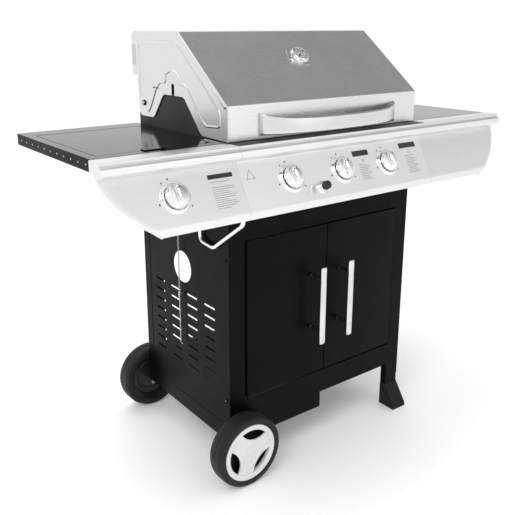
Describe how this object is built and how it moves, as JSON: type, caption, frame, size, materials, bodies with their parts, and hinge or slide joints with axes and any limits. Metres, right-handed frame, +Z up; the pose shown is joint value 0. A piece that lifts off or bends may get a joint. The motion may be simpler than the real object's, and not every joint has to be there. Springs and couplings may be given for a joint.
{
  "type": "gas barbecue grill",
  "caption": "Gas barbecue with a hinged hood, bowed handle, slanted control panel, side shelves with a flush side burner, and a two-door cart on wheels and feet.",
  "frame": {"origin": "middle of the whole outline, on the ground", "axes": "+Z up, +X to the right seen from the front, +Y to the back"},
  "size_m": [1.24, 0.552, 1.0643],
  "materials": {
    "black_enamel": "gloss black enamel on pressed steel",
    "firebox_enamel": "satin black heat-proof enamel",
    "grey_plastic": "dark grey moulded plastic",
    "black_plastic": "satin black moulded plastic",
    "silver_plastic": "silver-lacquered moulded plastic",
    "wheel_rubber": "black moulded tyre",
    "zinc_steel": "zinc-plated steel",
    "chrome_wire": "chrome-plated wire",
    "chrome": "polished chrome",
    "polished_handle": "polished steel",
    "brushed_steel": "brushed stainless steel",
    "silver_panel": "satin silver sheet steel",
    "knob_plating": "bright plated plastic",
    "cast_iron": "matt black cast iron",
    "brass": "machined brass",
    "clear_glass": "clear window"
  },
  "bodies": {
    "root": {"left_side_panel": "black_enamel", "right_side_panel": "black_enamel", "front_posts": "black_enamel", "rear_posts": "black_enamel", "front_rails": "black_enamel", "rear_rails": "black_enamel", "bottom_shelf": "black_enamel", "leg_feet": "grey_plastic", "axle": "zinc_steel", "axle_brackets": "zinc_steel", "firebox": "firebox_enamel", "main_burners": "zinc_steel", "heat_tents": "zinc_steel", "cooking_grates": "cast_iron", "warming_rack": "chrome_wire", "gas_manifold": "zinc_steel", "gas_valves": "brass", "left_fascia": "silver_panel", "centre_fascia": "silver_panel", "right_fascia": "silver_panel", "left_shelf": "black_enamel", "right_shelf": "black_enamel", "knob_bezels": "chrome", "igniter_housing": "chrome", "side_burner_bowl": "firebox_enamel", "side_burner_head": "cast_iron", "pan_support": "cast_iron", "towel_rail": "chrome", "hinge_pins": "zinc_steel", "door_catches": "black_plastic", "tray_runners": "zinc_steel", "fasteners": "zinc_steel"},
    "hood": {"hood_skin": "brushed_steel", "hood_end_caps": "brushed_steel", "hood_handle": "polished_handle", "thermometer_case": "chrome", "thermometer_lens": "clear_glass"},
    "needle": {"thermometer_needle": "black_plastic"},
    "left_door": {"left_door": "black_enamel", "left_door_handle": "polished_handle"},
    "right_door": {"right_door": "black_enamel", "right_door_handle": "polished_handle"},
    "igniter": {"igniter_button": "black_plastic"},
    "front_wheel": {"front_tyre": "wheel_rubber", "front_rim": "black_plastic", "front_hubcap": "silver_plastic"},
    "rear_wheel": {"rear_tyre": "wheel_rubber", "rear_rim": "black_plastic", "rear_hubcap": "silver_plastic"},
    "burner_lid": {"side_burner_lid": "black_enamel"},
    "match_holder": {"match_holder": "chrome_wire"},
    "tray": {"grease_tray": "zinc_steel"},
    "stem_1": {"valve_stem_1": "brass"},
    "knob_1": {"knob_1": "knob_plating"},
    "stem_2": {"valve_stem_2": "brass"},
    "knob_2": {"knob_2": "knob_plating"},
    "stem_3": {"valve_stem_3": "brass"},
    "knob_3": {"knob_3": "knob_plating"},
    "stem_4": {"valve_stem_4": "brass"},
    "knob_4": {"knob_4": "knob_plating"}
  },
  "joints": [
    {"name": "hood_hinge", "type": "hinge", "parent": "root", "child": "hood", "pos_m": [0, 0.18302, 0.888], "axis": [-1, 0, 0], "range_deg": [0, 90]},
    {"name": "needle_turn", "type": "hinge", "parent": "hood", "child": "needle", "pos_m": [0, -0.06872, 1.00758], "axis": [0, 0.6154, -0.7882], "range_deg": [0, 270]},
    {"name": "left_door_hinge", "type": "hinge", "parent": "root", "child": "left_door", "pos_m": [-0.2465, -0.18018, 0.4], "axis": [0, 0, -1], "range_deg": [0, 110]},
    {"name": "right_door_hinge", "type": "hinge", "parent": "root", "child": "right_door", "pos_m": [0.2465, -0.18018, 0.4], "axis": [0, 0, 1], "range_deg": [0, 110]},
    {"name": "igniter_push", "type": "slide", "parent": "root", "child": "igniter", "axis": [0, 0.8801, -0.4747], "range_m": [0, 0.004], "stiffness_N_per_m": 1000, "springref_m": -0.003},
    {"name": "front_wheel_spin", "type": "hinge", "parent": "root", "child": "front_wheel", "pos_m": [-0.282, -0.21898, 0.09], "axis": [0, 1, 0], "continuous": true},
    {"name": "rear_wheel_spin", "type": "hinge", "parent": "root", "child": "rear_wheel", "pos_m": [-0.282, 0.25102, 0.09], "axis": [0, 1, 0], "continuous": true},
    {"name": "burner_lid_hinge", "type": "hinge", "parent": "root", "child": "burner_lid", "pos_m": [-0.458, 0.16402, 0.826], "axis": [-1, 0, 0], "range_deg": [0, 95]},
    {"name": "match_holder_swing", "type": "hinge", "parent": "root", "child": "match_holder", "pos_m": [-0.308, 0.02502, 0.64], "axis": [1, 0, 0], "range_deg": [-30, 30]},
    {"name": "tray_slide", "type": "slide", "parent": "root", "child": "tray", "axis": [0, 1, 0], "range_m": [0, 0.22]},
    {"name": "knob_1_turn", "type": "hinge", "parent": "root", "child": "stem_1", "pos_m": [-0.464, -0.23332, 0.74629], "axis": [0, -0.8801, 0.4747], "range_deg": [0, 180]},
    {"name": "knob_1_push", "type": "slide", "parent": "stem_1", "child": "knob_1", "axis": [0, 0.8801, -0.4747], "range_m": [0, 0.003], "stiffness_N_per_m": 800, "springref_m": -0.004},
    {"name": "knob_2_turn", "type": "hinge", "parent": "root", "child": "stem_2", "pos_m": [-0.16, -0.23332, 0.74629], "axis": [0, -0.8801, 0.4747], "range_deg": [0, 180]},
    {"name": "knob_2_push", "type": "slide", "parent": "stem_2", "child": "knob_2", "axis": [0, 0.8801, -0.4747], "range_m": [0, 0.003], "stiffness_N_per_m": 800, "springref_m": -0.004},
    {"name": "knob_3_turn", "type": "hinge", "parent": "root", "child": "stem_3", "pos_m": [-0.001, -0.23332, 0.74629], "axis": [0, -0.8801, 0.4747], "range_deg": [0, 180]},
    {"name": "knob_3_push", "type": "slide", "parent": "stem_3", "child": "knob_3", "axis": [0, 0.8801, -0.4747], "range_m": [0, 0.003], "stiffness_N_per_m": 800, "springref_m": -0.004},
    {"name": "knob_4_turn", "type": "hinge", "parent": "root", "child": "stem_4", "pos_m": [0.153, -0.23332, 0.74629], "axis": [0, -0.8801, 0.4747], "range_deg": [0, 180]},
    {"name": "knob_4_push", "type": "slide", "parent": "stem_4", "child": "knob_4", "axis": [0, 0.8801, -0.4747], "range_m": [0, 0.003], "stiffness_N_per_m": 800, "springref_m": -0.004}
  ]
}
